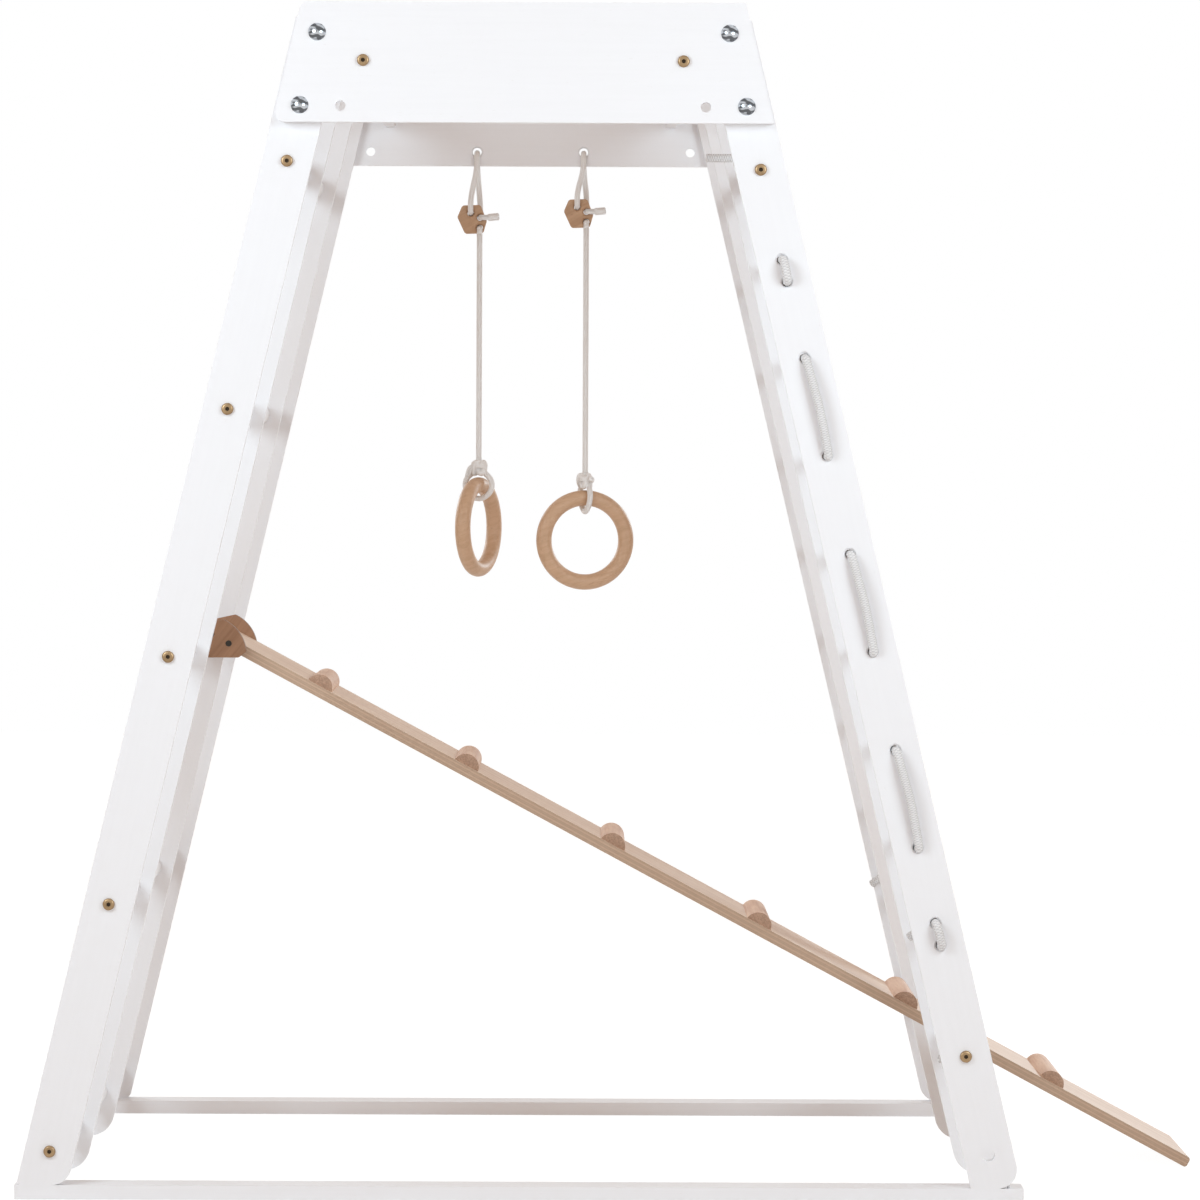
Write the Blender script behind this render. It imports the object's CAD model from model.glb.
import math

import bmesh
import bpy
from mathutils import Matrix, Vector


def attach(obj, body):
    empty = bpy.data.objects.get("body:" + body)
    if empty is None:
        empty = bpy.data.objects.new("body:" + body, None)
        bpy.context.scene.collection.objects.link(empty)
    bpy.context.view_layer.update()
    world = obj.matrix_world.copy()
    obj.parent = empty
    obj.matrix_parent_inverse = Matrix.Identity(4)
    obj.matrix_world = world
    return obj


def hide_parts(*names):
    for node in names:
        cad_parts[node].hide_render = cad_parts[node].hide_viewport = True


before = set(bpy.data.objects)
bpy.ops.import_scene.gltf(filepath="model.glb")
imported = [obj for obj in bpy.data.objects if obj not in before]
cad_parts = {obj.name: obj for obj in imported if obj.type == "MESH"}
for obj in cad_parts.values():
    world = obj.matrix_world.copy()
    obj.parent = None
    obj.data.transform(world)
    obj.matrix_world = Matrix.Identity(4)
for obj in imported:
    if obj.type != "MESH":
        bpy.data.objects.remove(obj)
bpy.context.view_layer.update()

scene = bpy.context.scene

# Where the frame's middle and the near legs' outer face are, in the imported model's own frame
FRAME_X = -0.124629
FRONT_Y = -0.585
DEPTH = 1.170
LEAN = math.radians(13.3)
FOOT_HALF = 0.603
BOARD = 0.018
BAY = 0.334
CLEARANCE = 0.0003


def at(x, y, z):
    """Point given from the frame's middle, the near legs' outer face and the floor, in metres."""
    return Vector((FRAME_X + x, FRONT_Y + y, z))


def on_leg(t, w, y):
    """Point of the right side: t along the leg from the floor, w outwards from its centre line."""
    x = FOOT_HALF - t * math.sin(LEAN) + w * math.cos(LEAN)
    return at(x, y, t * math.cos(LEAN) + w * math.sin(LEAN))


# Camera, at the photograph's angle
PHOTO_SIZE = 1200
FOCAL_PIXELS = 6610.0
SENSOR = 36.0
YAW, PITCH, ROLL = 0.0030, 0.0198, 0.0042
CAMERA_PLACE = (0.0736, -8.2714, 0.9183)


def place_camera():
    eye = bpy.data.cameras.new("camera")
    eye.sensor_width = SENSOR
    eye.lens = FOCAL_PIXELS / PHOTO_SIZE * SENSOR
    eye.clip_start, eye.clip_end = 0.1, 60.0
    camera = bpy.data.objects.new("camera", eye)
    scene.collection.objects.link(camera)
    look = Vector((math.sin(YAW) * math.cos(PITCH), math.cos(YAW) * math.cos(PITCH), -math.sin(PITCH)))
    level = Vector((math.cos(YAW), -math.sin(YAW), 0.0))
    upright = level.cross(look)
    right = level * math.cos(ROLL) + upright * math.sin(ROLL)
    top = upright * math.cos(ROLL) - level * math.sin(ROLL)
    turn = Matrix((right, top, -look)).transposed().to_4x4()
    camera.matrix_world = Matrix.Translation(at(*CAMERA_PLACE)) @ turn
    scene.camera = camera


# Materials
class Wire:
    """A node's output, with arithmetic that adds Math nodes."""

    def __init__(self, finish, socket):
        self.finish, self.socket = finish, socket

    def maths(self, operation, *others):
        inputs = {str(place): value for place, value in enumerate((self, *others))}
        return self.finish.node("Math", {"operation": operation}, **inputs)

    def __add__(self, other):
        return self.maths("ADD", other)

    def __sub__(self, other):
        return self.maths("SUBTRACT", other)

    def __rsub__(self, other):
        return self.finish.number(other).maths("SUBTRACT", self)

    def __mul__(self, other):
        return self.maths("MULTIPLY", other)

    def __gt__(self, other):
        return self.maths("GREATER_THAN", other)

    __radd__ = __add__

    def step(self, low, high):
        """0 below low, 1 above high, smooth between."""
        return self.finish.node("MapRange", {"interpolation_type": "SMOOTHSTEP"},
                                Value=self, **{"From Min": low, "From Max": high})


class Finish:
    """A material under construction."""

    def __init__(self, name):
        self.material = bpy.data.materials.new(name)
        self.material.use_nodes = True
        self.tree = self.material.node_tree
        self.tree.nodes.clear()
        self.shader = self.tree.nodes.new("ShaderNodeBsdfPrincipled")
        self.output = self.tree.nodes.new("ShaderNodeOutputMaterial")
        self.tree.links.new(self.shader.outputs["BSDF"], self.output.inputs["Surface"])

    def feed(self, socket, value):
        if isinstance(value, Wire):
            self.tree.links.new(value.socket, socket)
        else:
            socket.default_value = value

    def node(self, kind, settings=None, output=0, **inputs):
        made = self.tree.nodes.new("ShaderNode" + kind)
        for key, value in (settings or {}).items():
            setattr(made, key, value)
        for key, value in inputs.items():
            self.feed(made.inputs[int(key) if key.isdigit() else key], value)
        return Wire(self, made.outputs[output])

    def number(self, value):
        made = self.tree.nodes.new("ShaderNodeValue")
        made.outputs[0].default_value = value
        return Wire(self, made.outputs[0])

    def object_place(self, turn=(0.0, 0.0, 0.0), scale=(1.0, 1.0, 1.0)):
        """Object coordinates, turned by angles about X, Y and Z, then stretched."""
        place = self.node("TexCoord", output="Object")
        if any(turn):
            place = self.node("Mapping", Vector=place, Rotation=turn)
        return self.node("Mapping", Vector=place, Scale=scale)

    def noise(self, place, scale, detail=4.0, roughness=0.55, distortion=0.0):
        return self.node("TexNoise", output="Fac", Vector=place, Scale=scale, Detail=detail,
                         Roughness=roughness, Distortion=distortion)

    def mix(self, share, low, high):
        return self.node("Mix", {"data_type": "RGBA"}, output=2,
                         **{"0": share, "6": rgba(low), "7": rgba(high)})

    def bump(self, height, distance, strength=1.0):
        return self.node("Bump", output="Normal", Height=height, Distance=distance, Strength=strength)

    def surface(self, **sockets):
        for key, value in sockets.items():
            if key == "Base_Color":
                value = rgba(value)
            self.feed(self.shader.inputs[key.replace("_", " ")], value)
        return self.material


def rgba(colour):
    return (*colour, 1.0) if isinstance(colour, tuple) and len(colour) == 3 else colour


def white_paint(name, turn, colour):
    """Sprayed white paint on a planed board: faint grain along the board, pores and small blemishes."""
    f = Finish(name)
    grain = f.noise(f.object_place(turn, (1.6, 46.0, 46.0)), 5.0, 5.0)
    cloud = f.noise(f.object_place(), 3.5, 2.0)
    speck = f.noise(f.object_place(turn, (60.0, 240.0, 240.0)), 2.0, 2.0).step(0.68, 0.8)
    shade = f.mix(grain.step(0.3, 0.8) * 0.25 + cloud * 0.2, colour, tuple(c * 0.95 for c in colour))
    shade = f.mix(speck * 0.15, shade, (0.62, 0.58, 0.52))
    relief = grain * 0.6 + f.noise(f.object_place(), 380.0, 2.0) * 0.25 - speck * 0.5
    return f.surface(Base_Color=shade, Roughness=0.34 + grain * 0.1, Normal=f.bump(relief, 0.0002, 0.5))


def beech(name, turn, pale, dark, polish=0.42, end_axis=None, figure=0.35):
    """Clear-coated beech: soft long grain, short dark flecks, and a darker end grain across end_axis."""
    f = Finish(name)
    stretched = f.object_place(turn, (1.2, 26.0, 26.0))
    grain = f.noise(stretched, 6.0, 6.0, 0.6, 0.4)
    bands = f.noise(f.object_place(turn, (0.8, 9.0, 9.0)), 5.0, 2.0, 0.5, 0.8)
    flecks = f.noise(f.object_place(turn, (70.0, 420.0, 420.0)), 1.6, 2.0).step(0.6, 0.74)
    shade = f.mix(grain.step(0.3, 0.72), pale, dark)
    shade = f.mix(bands.step(0.42, 0.7) * figure, shade, tuple(c * 0.82 for c in dark))
    shade = f.mix(flecks * 0.4, shade, tuple(c * 0.6 for c in dark))
    if end_axis is not None:
        facing = f.node("VectorMath", {"operation": "DOT_PRODUCT"}, output="Value",
                        **{"0": f.node("TexCoord", output="Normal"), "1": end_axis})
        across = facing.maths("ABSOLUTE").step(0.75, 0.95)
        rings = f.noise(f.object_place(turn, (20.0, 120.0, 120.0)), 4.0, 3.0).step(0.35, 0.65)
        shade = f.mix(across * (0.6 + rings * 0.35), shade, tuple(c * 0.52 for c in dark))
    relief = grain * 0.5 - flecks * 0.7
    return f.surface(Base_Color=shade, Roughness=polish + grain * 0.14, Normal=f.bump(relief, 0.0002, 0.6))


def plywood(name, turn, face_pale, face_dark, layer_axis, layer_step, glue):
    """Plywood: grain on its faces, and on its edges layers of alternate grain with dark glue lines."""
    f = Finish(name)
    place = f.object_place(turn)
    grain = f.noise(f.node("Mapping", Vector=place, Scale=(1.4, 24.0, 24.0)), 6.0, 6.0, 0.6, 0.5)
    figure = f.noise(f.node("Mapping", Vector=place, Scale=(1.0, 7.0, 7.0)), 4.0, 3.0, 0.5, 1.2)
    streaks = f.noise(f.node("Mapping", Vector=place, Scale=(18.0, 300.0, 300.0)), 2.0, 3.0).step(0.58, 0.75)
    face = f.mix(grain.step(0.3, 0.75), face_pale, face_dark)
    face = f.mix(figure.step(0.45, 0.62) * 0.3, face, tuple(c * 0.8 for c in face_dark))
    face = f.mix(streaks * 0.35, face, tuple(c * 0.6 for c in face_dark))
    parts = f.node("SeparateXYZ", output=layer_axis, Vector=place)
    ply = (parts * (1.0 / layer_step)).maths("FRACT")
    alternate = (parts * (0.5 / layer_step)).maths("FRACT") > 0.5
    line = (ply - 0.5).maths("ABSOLUTE").step(0.34, 0.48)
    edge = f.mix(alternate * 0.4 + f.noise(place, 260.0, 2.0) * 0.4, tuple(c * 0.84 for c in face_dark),
                 tuple(c * 0.58 for c in face_dark))
    edge = f.mix(line * 0.3, edge, glue)
    turned = f.node("TexCoord", output="Normal")
    if any(turn):
        turned = f.node("Mapping", {"vector_type": "NORMAL"}, Vector=turned, Rotation=turn)
    facing = f.node("SeparateXYZ", output=layer_axis, Vector=turned).maths("ABSOLUTE").step(0.72, 0.8)
    shade = f.mix(facing, edge, face)
    relief = grain * 0.5 - streaks * 0.6 - line * (1.0 - facing) * 1.2
    return f.surface(Base_Color=shade, Roughness=0.45 + grain * 0.15, Normal=f.bump(relief, 0.00025, 0.7))


def braid(name, colour, shadow, radius, turns_along, strands, fuzz=0.5):
    """Braided cord: strands cross both ways round it, read from the cord's own along and around."""
    f = Finish(name)
    along = f.node("Attribute", {"attribute_name": "along"}, output="Fac")
    around = f.node("Attribute", {"attribute_name": "around"}, output="Fac")
    left = ((along * turns_along + around) * strands).maths("SINE")
    right = ((along * turns_along - around) * strands).maths("SINE")
    wave_along = ((along * turns_along) * strands).maths("SINE")
    wave_around = (around * strands).maths("SINE")
    over = (wave_along * wave_around).step(-0.25, 0.25)
    ridge = f.mix(over, left, right)
    lift = f.node("RGBToBW", Color=ridge) * 0.5 + 0.5
    grime = f.noise(f.object_place(), 60.0, 3.0)
    threads = f.noise(f.object_place(), 2600.0, 2.0, 0.7)
    shade = f.mix((1.0 - lift.step(0.0, 0.8)) * 0.75 + grime * 0.2, colour, shadow)
    relief = lift + threads * fuzz * 0.4
    return f.surface(Base_Color=shade, Roughness=0.78, Normal=f.bump(relief, radius * 0.12, 0.9))


def cut_end(name, colour):
    """Melted end of a cord."""
    f = Finish(name)
    lumps = f.noise(f.object_place(), 900.0, 4.0)
    shade = f.mix(lumps.step(0.3, 0.7), colour, tuple(c * 0.55 for c in colour))
    return f.surface(Base_Color=shade, Roughness=0.4, Normal=f.bump(lumps, 0.0006, 0.8))


def metal(name, colour, tarnish, roughness, wear=0.5, glint=0.0, socket_floor=None):
    """Metal with worn patches. Glint darkens it as a studio's dark corners do in a polished dome.
    Socket floor is how far past the legs' outer faces the floors of the sockets lie."""
    f = Finish(name)
    patches = f.noise(f.object_place(), 140.0, 4.0)
    scratches = f.noise(f.object_place((0.3, 0.2, 0.5), (30.0, 900.0, 30.0)), 1.0, 2.0)
    shade = f.mix(patches.step(0.35, 0.75) * wear, colour, tarnish)
    facing = f.node("TexCoord", output="Normal")
    if glint:
        corners = f.noise(f.node("Mapping", Vector=facing, Scale=(1.0, 1.0, 2.2)), 1.3, 0.0).step(0.42, 0.56)
        shade = f.mix(corners * glint, shade, tuple(c * 0.12 for c in colour))
    if socket_floor is not None:
        depth = f.node("SeparateXYZ", output="Y", Vector=f.object_place()) - (FRONT_Y + DEPTH / 2)
        from_floor = (depth.maths("ABSOLUTE") - (DEPTH / 2 + socket_floor)).maths("ABSOLUTE")
        near_floor = from_floor.maths("LESS_THAN", 0.0004)
        level = f.node("SeparateXYZ", output="Y", Vector=facing).maths("ABSOLUTE") > 0.9
        shade = f.mix(near_floor * level, shade, (0.05, 0.036, 0.024))
    return f.surface(Base_Color=shade, Roughness=roughness + patches * 0.12, Metallic=1.0,
                     Normal=f.bump(scratches * 0.4 + patches * 0.6, 0.0001, 0.4))


TILT = math.radians(28.2485)
WHITE = (0.86, 0.865, 0.885)
RAMP_PALE, RAMP_DARK = (0.82, 0.64, 0.49), (0.71, 0.50, 0.355)
CHEEK_PALE, CHEEK_DARK = (0.40, 0.22, 0.125), (0.29, 0.145, 0.075)
CLEAT_PALE, CLEAT_DARK = (0.81, 0.57, 0.41), (0.66, 0.41, 0.28)
RING_PALE, RING_DARK = (0.66, 0.44, 0.285), (0.58, 0.37, 0.225)
BLOCK_PALE, BLOCK_DARK = (0.57, 0.365, 0.225), (0.46, 0.275, 0.16)
NET_ROPE, NET_SHADOW = (0.92, 0.92, 0.92), (0.58, 0.58, 0.59)
RING_ROPE, RING_ROPE_SHADOW = (0.95, 0.95, 0.94), (0.90, 0.89, 0.87)
BRASS, TARNISH = (0.37, 0.245, 0.135), (0.20, 0.125, 0.065)
SOCKET = 0.0018
RAMP_PLY, RAMP_GLUE = 0.0028, (0.26, 0.15, 0.08)
CHEEK_PLY, CHEEK_GLUE = 0.0025, (0.16, 0.08, 0.04)

paint = {
    "left": white_paint("white_paint_left", (0.0, math.pi / 2 - LEAN, 0.0), WHITE),
    "right": white_paint("white_paint_right", (0.0, math.pi / 2 + LEAN, 0.0), WHITE),
    "level": white_paint("white_paint_level", (0.0, 0.0, 0.0), WHITE),
    "cross": white_paint("white_paint_cross", (0.0, 0.0, math.pi / 2), WHITE),
}
ramp_wood = plywood("ramp_plywood", (0.0, -TILT, 0.0), RAMP_PALE, RAMP_DARK, "Z", RAMP_PLY, RAMP_GLUE)
cheek_wood = plywood("cheek_plywood", (0.0, 0.9, 0.0), CHEEK_PALE, CHEEK_DARK, "Y", CHEEK_PLY, CHEEK_GLUE)
cleat_wood = beech("cleat_beech", (0.0, 0.0, math.pi / 2), CLEAT_PALE, CLEAT_DARK, 0.5, (0.0, 1.0, 0.0))
ring_wood = beech("ring_beech", (0.0, 0.35, 0.0), RING_PALE, RING_DARK, 0.4, figure=0.12)
block_wood = beech("block_beech", (0.0, 0.5, 0.0), BLOCK_PALE, BLOCK_DARK, 0.5)
net_cord = braid("net_cord", NET_ROPE, NET_SHADOW, 0.005, 520.0, 4.0)
ring_cord = braid("ring_cord", RING_ROPE, RING_ROPE_SHADOW, 0.004, 640.0, 4.0)
net_end = cut_end("net_cord_end", (0.30, 0.29, 0.28))
ring_end = cut_end("ring_cord_end", (0.42, 0.38, 0.34))
side_brass = metal("side_screw_brass", BRASS, TARNISH, 0.32, socket_floor=SOCKET)
panel_brass = metal("panel_screw_brass", BRASS, TARNISH, 0.32, socket_floor=BOARD + SOCKET)
chrome = metal("chrome_dome", (0.54, 0.56, 0.59), (0.42, 0.43, 0.45), 0.1, 0.3, 0.88)
zinc = metal("zinc_screw", (0.60, 0.60, 0.61), (0.42, 0.42, 0.43), 0.35)
black_steel = metal("black_screw", (0.07, 0.06, 0.05), (0.03, 0.025, 0.02), 0.45)

node_finish = {
    "near_left_leg": paint["left"], "far_left_leg": paint["left"], "left_near_rail": paint["left"],
    "left_far_rail": paint["left"], "near_right_leg": paint["right"], "far_right_leg": paint["right"],
    "right_near_rail": paint["right"], "right_far_rail": paint["right"], "near_base_rail": paint["level"],
    "far_base_rail": paint["level"], "near_panel": paint["level"], "far_panel": paint["level"],
    "left_crossbar": paint["cross"], "right_crossbar": paint["cross"], "right_top_rung": paint["cross"],
    "right_near_rung": paint["cross"], "right_far_rung": paint["cross"], "ramp_board": ramp_wood,
    "near_cheek": cheek_wood, "far_cheek": cheek_wood, "left_ring": ring_wood, "right_ring": ring_wood,
    "left_ring_block": block_wood, "right_ring_block": block_wood, "crossbar_screws": panel_brass,
    "left_rung_screws": side_brass, "right_rung_screws": side_brass, "near_panel_bolts": chrome,
    "far_panel_bolts": chrome, "near_panel_nuts": zinc, "far_panel_nuts": zinc, "base_screws": zinc,
    "cleat_screws": zinc, "cheek_screws": black_steel,
}
for number in range(1, 6):
    node_finish["left_rung_%d" % number] = paint["cross"]
for number in range(1, 7):
    node_finish["cleat_%d" % number] = cleat_wood


def dress_nodes():
    """Give each node that shows its own material."""
    for name, material in node_finish.items():
        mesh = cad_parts[name].data
        mesh.materials.clear()
        mesh.materials.append(material)


# Cords
CORD_ROUNDNESS = 3
KNOT_STEPS = 24


def route_curve(name, points, smooth=8):
    """Open NURBS line through the route's control points."""
    data = bpy.data.curves.new(name, "CURVE")
    data.dimensions = "3D"
    data.resolution_u = smooth
    line = data.splines.new("NURBS")
    line.points.add(len(points) - 1)
    for knot, point in zip(line.points, points):
        knot.co = (*point, 1.0)
    line.order_u = 3
    line.use_endpoint_u = True
    piece = bpy.data.objects.new(name, data)
    scene.collection.objects.link(piece)
    return piece


def settled(piece):
    """The piece's mesh as it shows, as a new mesh."""
    bpy.context.view_layer.update()
    graph = bpy.context.evaluated_depsgraph_get()
    return bpy.data.meshes.new_from_object(piece.evaluated_get(graph), depsgraph=graph)


def cord_mesh(name, points, radius, material, end_material=None, smooth=8):
    """Round cord along a NURBS line, with the distance along it and round it kept for its braid.
    Both ends are closed with a rounded cap, as if melted. Returns the piece and its line."""
    guide = route_curve(name, points, smooth)
    line = [v.co.copy() for v in settled(guide).vertices]
    guide.data.bevel_depth = radius
    guide.data.bevel_resolution = CORD_ROUNDNESS
    mesh = settled(guide)
    mesh.name = name
    bpy.data.objects.remove(guide)
    around_count = len(mesh.vertices) // len(line)
    travel = [0.0]
    for before, after in zip(line, line[1:]):
        travel.append(travel[-1] + (after - before).length)
    along = mesh.attributes.new("along", "FLOAT", "POINT")
    around = mesh.attributes.new("around", "FLOAT", "POINT")
    for index in range(len(mesh.vertices)):
        along.data[index].value = travel[min(index // around_count, len(travel) - 1)]
        around.data[index].value = math.tau * (index % around_count) / around_count
    mesh.materials.append(material)
    if end_material:
        mesh.materials.append(end_material)
    shape = bmesh.new()
    shape.from_mesh(mesh)
    rims = [e for e in shape.edges if e.is_boundary]
    caps = bmesh.ops.holes_fill(shape, edges=rims, sides=0)["faces"]
    for cap in caps:
        for share, lift in ((0.16, 0.16), (0.3, 0.12)):
            bmesh.ops.inset_region(shape, faces=[cap], thickness=radius * share, depth=radius * lift)
        cap.material_index = 1 if end_material else 0
        if end_material:
            for ring in cap.edges:
                for face in ring.link_faces:
                    face.material_index = 1
    shape.to_mesh(mesh)
    shape.free()
    mesh.polygons.foreach_set("use_smooth", [True] * len(mesh.polygons))
    piece = bpy.data.objects.new(name, mesh)
    scene.collection.objects.link(piece)
    return piece, line


def joined(name, pieces):
    """One piece from several, with their materials and attributes."""
    main, *rest = pieces
    shape = bmesh.new()
    slots = []
    for piece in pieces:
        start = len(shape.faces)
        shape.from_mesh(piece.data)
        shape.faces.ensure_lookup_table()
        for face in shape.faces[start:]:
            material = piece.data.materials[face.material_index]
            if material not in slots:
                slots.append(material)
            face.material_index = slots.index(material)
    shape.to_mesh(main.data)
    shape.free()
    main.data.materials.clear()
    for material in slots:
        main.data.materials.append(material)
    main.name = main.data.name = name
    for piece in rest:
        bpy.data.objects.remove(piece)
    return main


ROW_FIRST, ROW_COUNT = 0.332, 8
TOP_RUNG, LOW_RUNG = 1.32902, 0.189
ROW_PITCH = (TOP_RUNG - 0.115 - ROW_FIRST) / (ROW_COUNT - 1)
ROWS = [ROW_FIRST + k * ROW_PITCH for k in range(ROW_COUNT)]
END_STITCH = 0.029
NET_RADIUS = 0.0055
HITCH_RADIUS = 0.0046
STAND_OFF = NET_RADIUS + CLEARANCE


def lace_route(leg_face, rail_face, way):
    """The row rope's control points: down the net, out through the leg and the rail by turns."""
    out_leg, out_rail = leg_face - way * STAND_OFF, rail_face + way * STAND_OFF
    near_edge = 0.012
    inside = leg_face + way * 0.045
    top, low = ROWS[-1] - END_STITCH, ROWS[0] + END_STITCH
    points = [on_leg(top, 0.0, leg_face + way * 0.052), on_leg(top, 0.0, inside),
              on_leg(top, 0.0, out_leg + way * near_edge), on_leg(top + 0.001, 0.001, out_leg - way * 0.003),
              on_leg((top + ROWS[-1]) / 2, 0.002, out_leg - way * 0.006)]
    outside = True
    for k, place in enumerate(reversed(ROWS)):
        start, end = (out_leg, out_rail) if outside else (out_rail, out_leg)
        inward = way if outside else -way
        turn = -0.001 if k == 0 else -0.003
        points += [on_leg(place + turn, 0.002, start), on_leg(place, 0.0, start + inward * near_edge)]
        middle = (start + end) / 2
        points += [on_leg(place - 0.0012, -0.0012, middle - inward * 0.09),
                   on_leg(place - 0.0018, -0.0018, middle + inward * 0.09)]
        points += [on_leg(place, 0.0, end - inward * near_edge), on_leg(place - 0.003, 0.002, end)]
        following = ROWS[ROW_COUNT - 2 - k] if k + 1 < ROW_COUNT else low
        span = place - following
        if k + 1 < ROW_COUNT:
            for share, lift in ((0.28, 0.7), (0.5, 1.0), (0.74, 0.8)):
                points.append(on_leg(place - span * share, 0.0045 * lift, end + inward * 0.0035 * lift))
        else:
            points.append(on_leg((place + low) / 2, 0.002, end + inward * 0.006))
        outside = not outside
    points += [on_leg(low - 0.001, 0.001, out_leg - way * 0.003), on_leg(low, 0.0, out_leg + way * near_edge),
               on_leg(low, 0.0, inside), on_leg(low - 0.002, -0.008, leg_face + way * 0.056),
               on_leg(low - 0.014, -0.034, leg_face + way * 0.050)]
    return points


def weave_route(y, tail, first_way):
    """An upright's control points: over the top rung, through the rows by turns, under the low rung."""
    wrap = 0.0203
    swing = 0.0212
    top, low = TOP_RUNG, LOW_RUNG

    def level(across, up):
        """Point by world-level distances from the top rung's axis, outwards and up."""
        return (up * math.cos(LEAN) - across * math.sin(LEAN), across * math.cos(LEAN) + up * math.sin(LEAN))

    points = []
    over_rung = ((-tail, wrap), (-tail * 0.45, wrap), (-0.008, wrap), (0.0105, wrap + 0.001),
                 (wrap + 0.002, 0.0085))
    for across, up in over_rung:
        t, w = level(across, up)
        points.append(on_leg(top + t, w, y))
    points.append(on_leg(top - 0.019, wrap * 0.93, y))
    for k, place in enumerate(reversed(ROWS)):
        points.append(on_leg(place, first_way * swing * (-1) ** k, y))
    points += [on_leg(low + 0.022, wrap * 0.93, y), on_leg(low - 0.007, wrap + 0.0035, y),
               on_leg(low - wrap - 0.0025, 0.009, y), on_leg(low - wrap, -0.010, y),
               on_leg(low - wrap + 0.001, -0.026, y)]
    return points


def turns_round(centre, axis, side, radius, pitch, count, per_turn=8):
    """Control points of a few turns round a line through centre."""
    axis, side = axis.normalized(), side.normalized()
    other = axis.cross(side)
    reach = radius / math.cos(math.pi / per_turn) ** 2
    points = []
    for k in range(int(count * per_turn) + 1):
        angle = math.tau * k / per_turn
        along = axis * (pitch * (k / per_turn - count / 2))
        points.append(centre + along + (side * math.cos(angle) + other * math.sin(angle)) * reach)
    return points


def knot_points(centre, axis, side, width, height, start=0.0, turn=0.93):
    """Control points of an overhand knot drawn up tight, width and height to the cord's centre line."""
    axis, side = axis.normalized(), side.normalized()
    other = axis.cross(side)
    points = []
    for k in range(KNOT_STEPS + 1):
        a = start + math.tau * turn * k / KNOT_STEPS
        x = (math.sin(a) + 2.0 * math.sin(2.0 * a)) / 3.0 * width
        y = (math.cos(a) - 2.0 * math.cos(2.0 * a)) / 3.0 * width
        z = -math.sin(3.0 * a) * height
        points.append(centre + side * x + other * y + axis * z)
    return points


def make_net(name, leg_face, rail_face, way, first_tail):
    """One side bay's net: the row rope with its end knots, and two uprights woven through the rows."""
    route = lace_route(leg_face, rail_face, way)
    lace, _ = cord_mesh(name + "_lace", route, NET_RADIUS, net_cord, net_end, smooth=6)
    inward = Vector((0.0, way, 0.0))
    slope = on_leg(1.0, 0.0, 0.0) - on_leg(0.0, 0.0, 0.0)
    parts = [lace]
    for number, place in enumerate((ROWS[-1] - END_STITCH, ROWS[0] + END_STITCH)):
        middle = on_leg(place, 0.0, leg_face + way * (BOARD + 0.0118))
        turns = knot_points(middle, inward, slope, 0.0085, 0.0058, 0.4 + number)
        knot, _ = cord_mesh("%s_knot_%d" % (name, number), turns, NET_RADIUS, net_cord, net_end, smooth=5)
        parts.append(knot)
    piece = joined(name + "_lace", parts)
    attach(piece, "frame")
    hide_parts(name + "_rows")
    for k in range(2):
        start = leg_face + way * BOARD if way > 0 else rail_face - way * BOARD
        y = start + BAY * (k + 1) / 3
        tail = first_tail if k == 0 else 0.028
        route = weave_route(y, tail, 1 if k % 2 else -1)
        upright, _ = cord_mesh("%s_upright_%d" % (name, k + 1), route, NET_RADIUS, net_cord, net_end,
                               smooth=6)
        parts = [upright]
        for number, t in enumerate((TOP_RUNG - 0.036, LOW_RUNG + 0.038)):
            spot = on_leg(t, 0.0165, y)
            axis = slope + Vector((0.0, 0.0, 0.05))
            turns = turns_round(spot, axis, Vector((0.0, 1.0, 0.0)), 0.0093, 0.0104, 2.1)
            hitch, _ = cord_mesh("%s_hitch_%d_%d" % (name, k, number), turns, HITCH_RADIUS, net_cord, net_end,
                                 smooth=4)
            parts.append(hitch)
        piece = joined("%s_upright_%d" % (name, k + 1), parts)
        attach(piece, "frame")
        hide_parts(name + "_uprights")


# Ring ropes
CORD_RADIUS = 0.004
STUB_RADIUS = 0.0053
ROPE_HOLE_Z = 1.370
ROPE_FROM_MIDDLE = 0.076
BLOCK_THICK = 0.016
BLOCK_FACE = DEPTH + 0.001
CORD_FRONT = BLOCK_FACE - CLEARANCE - CORD_RADIUS
CORD_BACK = BLOCK_FACE + BLOCK_THICK + CLEARANCE + CORD_RADIUS
HANGER_END = 0.0083
LOOP_REACH = 0.0153


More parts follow.
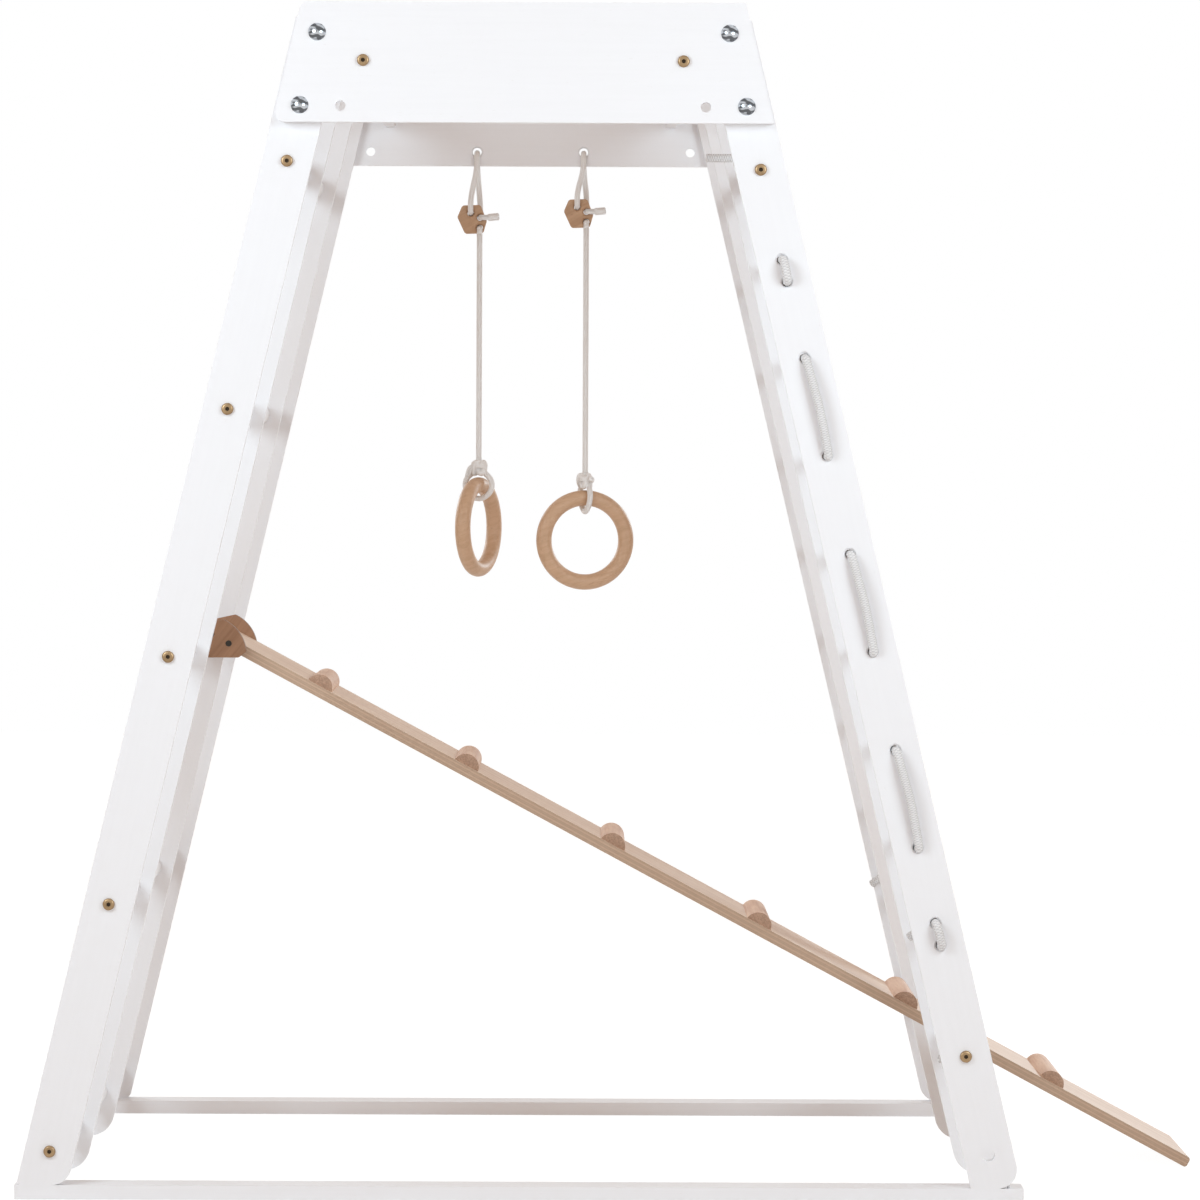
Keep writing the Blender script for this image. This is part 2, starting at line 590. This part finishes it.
def make_ring_cords(side, name, block_drop, ring_drop, turn):
    """The rope through the panel and block, the rope that swings below it, and the knot round the ring."""
    hole_z = ROPE_HOLE_Z
    hang = side * ROPE_FROM_MIDDLE
    block_x, block_z = hang - 0.007, hole_z - block_drop
    ring_z = hole_z - ring_drop
    in_x, in_z = block_x - 0.002, block_z + 0.009
    tied_x, tied_z = block_x + 0.0115, block_z + 0.0025
    out_x, out_z = block_x + 0.011, block_z - 0.012
    front, back = CORD_FRONT, CORD_BACK
    panel_front, panel_back = DEPTH - 0.0043, DEPTH + BOARD + 0.0043
    sill = hole_z - 0.0022
    points = [
        at(tied_x + 0.021, front, tied_z), at(tied_x + 0.011, front - 0.001, tied_z),
        at(tied_x, front - 0.001, tied_z), at(tied_x, back + 0.001, tied_z),
        at(tied_x, back + 0.001, tied_z + 0.022), at(hang, panel_back + 0.001, sill - 0.024),
        at(hang, panel_back + 0.001, sill + 0.001), at(hang, panel_front - 0.001, sill + 0.001),
        at(hang, panel_front - 0.001, sill - 0.024), at(in_x, front - 0.001, in_z + 0.022),
        at(in_x, front - 0.001, in_z), at(in_x, back + 0.001, in_z), at(out_x, back + 0.001, out_z),
        at(out_x, front - 0.001, out_z), at(out_x, front, out_z - HANGER_END),
    ]
    hanger, line = cord_mesh(name + "_hanger_cord", points, CORD_RADIUS, ring_cord, ring_end, smooth=8)
    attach(hanger, "frame")
    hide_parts(name + "_hanger")

    points = [at(tied_x + 0.0125 + k * 0.0045, front, tied_z + 0.0004 * k) for k in range(4)]
    stub_end, _ = cord_mesh(name + "_stub_end", points, STUB_RADIUS, ring_cord, ring_end)
    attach(stub_end, "frame")

    swing_z = out_z - HANGER_END - CLEARANCE - CORD_RADIUS
    section_z = ring_z + 0.060
    knot_z = section_z + LOOP_REACH + 0.009
    body = "left_rope" if side < 0 else "right_rope"
    top = swing_z + CORD_RADIUS * 0.9
    points = [at(out_x, front, top + (knot_z + 0.008 - top) * k / 5) for k in range(6)]
    strand, line = cord_mesh(name + "_cord", points, CORD_RADIUS, ring_cord, smooth=4)
    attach(strand, body)
    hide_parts(name + "_rope")

    # The knot and the loop that holds the ring
    across = Vector((math.cos(math.radians(turn)), math.sin(math.radians(turn)), 0.0))
    through = Vector((-across.y, across.x, 0.0))
    if through.y > 0:
        through = -through
    centre = at(out_x, front, section_z)
    knot_at = at(out_x, front, knot_z)
    loop = LOOP_REACH
    lean = across * 0.0035
    points = [knot_at + across * 0.004, knot_at + through * 0.007 - Vector((0, 0, 0.006)) + lean,
              centre + through * (loop + 0.0045) + Vector((0, 0, 0.006)) + lean,
              centre + through * (loop + 0.0035) - Vector((0, 0, 0.010)) + lean * 0.5,
              centre + through * 0.006 - Vector((0, 0, loop + 0.0045)),
              centre - through * 0.008 - Vector((0, 0, loop + 0.0035)),
              centre - through * (loop + 0.004) - Vector((0, 0, 0.008)) - lean * 0.5,
              centre - through * (loop + 0.0045) + Vector((0, 0, 0.007)) - lean,
              knot_at - through * 0.007 - Vector((0, 0, 0.006)) - lean, knot_at - across * 0.004]
    loop_piece, _ = cord_mesh(name + "_loop", points, CORD_RADIUS, ring_cord, smooth=8)
    upward = Vector((0.0, 0.0, 1.0))
    points = knot_points(knot_at, upward, across, 0.0085, 0.0075, 0.9)
    knot, _ = cord_mesh(name + "_tied", points, CORD_RADIUS * 1.2, ring_cord, ring_end, smooth=5)
    points = turns_round(knot_at + upward * 0.001, upward + across * 0.35, through, 0.0078, 0.0085, 1.6)
    wrap, _ = cord_mesh(name + "_wrap", points, CORD_RADIUS * 1.1, ring_cord, ring_end, smooth=4)
    if side > 0:
        steps = ((0.0, 0.0, 0.0), (0.006, -0.004, 0.001), (0.008, -0.010, 0.003), (0.0085, -0.0165, 0.003))
    else:
        steps = ((0.0, 0.0, 0.002), (-0.008, -0.005, 0.003), (-0.014, -0.007, -0.003),
                 (-0.0155, -0.008, -0.012))
    points = [knot_at + Vector(step) for step in steps]
    tail, _ = cord_mesh(name + "_tail", points, CORD_RADIUS, ring_cord, ring_end, smooth=6)
    piece = joined(name + "_tied_loop", [loop_piece, knot, wrap, tail])
    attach(piece, "left_ring_body" if side < 0 else "right_ring_body")
    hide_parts(name + "_knot")


# Floor, backdrop and light
GLOW, GLOW_SHARE = 1.15, 0.84
FLOOR_REACH, FLOOR_DROP = 14.0, 0.0005
AMBIENT = 0.42
AMBIENT_COLOUR = (1.0, 0.66, 0.46)
DAYLIGHT = (0.76, 0.91, 1.0)
# Each lamp's name, place, aim, size, power and colour
LAMPS = [
    ("front_left", (-1.5, -1.5, 1.70), (0.0, 0.3, 0.75), 1.2, 28.0, DAYLIGHT),
    ("front_right", (1.5, -1.5, 1.60), (0.0, 0.3, 0.75), 1.2, 26.0, DAYLIGHT),
    ("back_left", (-1.9, 3.1, 1.70), (0.0, 0.9, 0.75), 1.0, 26.0, DAYLIGHT),
    ("back_right", (1.9, 3.1, 1.60), (0.0, 0.9, 0.75), 1.0, 26.0, DAYLIGHT),
]


def make_stage():
    """White floor and background, a warm ambient light and the lamps."""
    f = Finish("stage")
    nodes = f.tree.nodes
    f.surface(Base_Color=(0.93, 0.93, 0.93), Roughness=0.85)
    glow = nodes.new("ShaderNodeEmission")
    glow.inputs["Color"].default_value = (1.0, 1.0, 1.0, 1.0)
    glow.inputs["Strength"].default_value = GLOW
    rays = nodes.new("ShaderNodeLightPath")
    seen = Wire(f, rays.outputs["Is Camera Ray"]).maths("MAXIMUM", Wire(f, rays.outputs["Is Glossy Ray"]))
    blend = nodes.new("ShaderNodeMixShader")
    f.feed(blend.inputs[0], seen * GLOW_SHARE)
    f.tree.links.new(f.shader.outputs["BSDF"], blend.inputs[1])
    f.tree.links.new(glow.outputs["Emission"], blend.inputs[2])
    f.tree.links.new(blend.outputs["Shader"], f.output.inputs["Surface"])
    shape = bmesh.new()
    bmesh.ops.create_grid(shape, x_segments=8, y_segments=8, size=FLOOR_REACH)
    mesh = bpy.data.meshes.new("floor")
    shape.to_mesh(mesh)
    shape.free()
    mesh.transform(Matrix.Translation((0.0, 0.0, -FLOOR_DROP)))
    floor = bpy.data.objects.new("floor", mesh)
    scene.collection.objects.link(floor)
    floor.data.materials.append(f.material)

    world = bpy.data.worlds.new("studio")
    scene.world = world
    world.use_nodes = True
    tree = world.node_tree
    tree.nodes.clear()
    output = tree.nodes.new("ShaderNodeOutputWorld")
    ambient = tree.nodes.new("ShaderNodeBackground")
    ambient.inputs["Color"].default_value = (*AMBIENT_COLOUR, 1.0)
    ambient.inputs["Strength"].default_value = AMBIENT
    white = tree.nodes.new("ShaderNodeBackground")
    white.inputs["Color"].default_value = (1.0, 1.0, 1.0, 1.0)
    white.inputs["Strength"].default_value = 1.0
    rays = tree.nodes.new("ShaderNodeLightPath")
    either = tree.nodes.new("ShaderNodeMath")
    either.operation = "MAXIMUM"
    blend = tree.nodes.new("ShaderNodeMixShader")
    tree.links.new(rays.outputs["Is Camera Ray"], either.inputs[0])
    tree.links.new(rays.outputs["Is Glossy Ray"], either.inputs[1])
    tree.links.new(either.outputs[0], blend.inputs[0])
    tree.links.new(ambient.outputs[0], blend.inputs[1])
    tree.links.new(white.outputs[0], blend.inputs[2])
    tree.links.new(blend.outputs[0], output.inputs["Surface"])

    for name, place, aim, size, power, colour in LAMPS:
        lamp = bpy.data.lights.new(name, "AREA")
        lamp.shape = "DISK"
        lamp.size = size
        lamp.energy = power
        lamp.color = colour
        holder = bpy.data.objects.new(name, lamp)
        scene.collection.objects.link(holder)
        holder.location = at(*place)
        holder.rotation_euler = (at(*aim) - at(*place)).to_track_quat("-Z", "Y").to_euler()


place_camera()
make_ring_cords(-1, "left_ring", 0.096, 0.535, 69.0)
make_ring_cords(1, "right_ring", 0.087, 0.553, 13.0)
make_net("near_net", 0.0, BOARD + BAY + BOARD, 1, 0.065)
make_net("far_net", DEPTH, DEPTH - 2 * BOARD - BAY, -1, 0.028)
dress_nodes()
make_stage()

scene.view_settings.view_transform = "Standard"
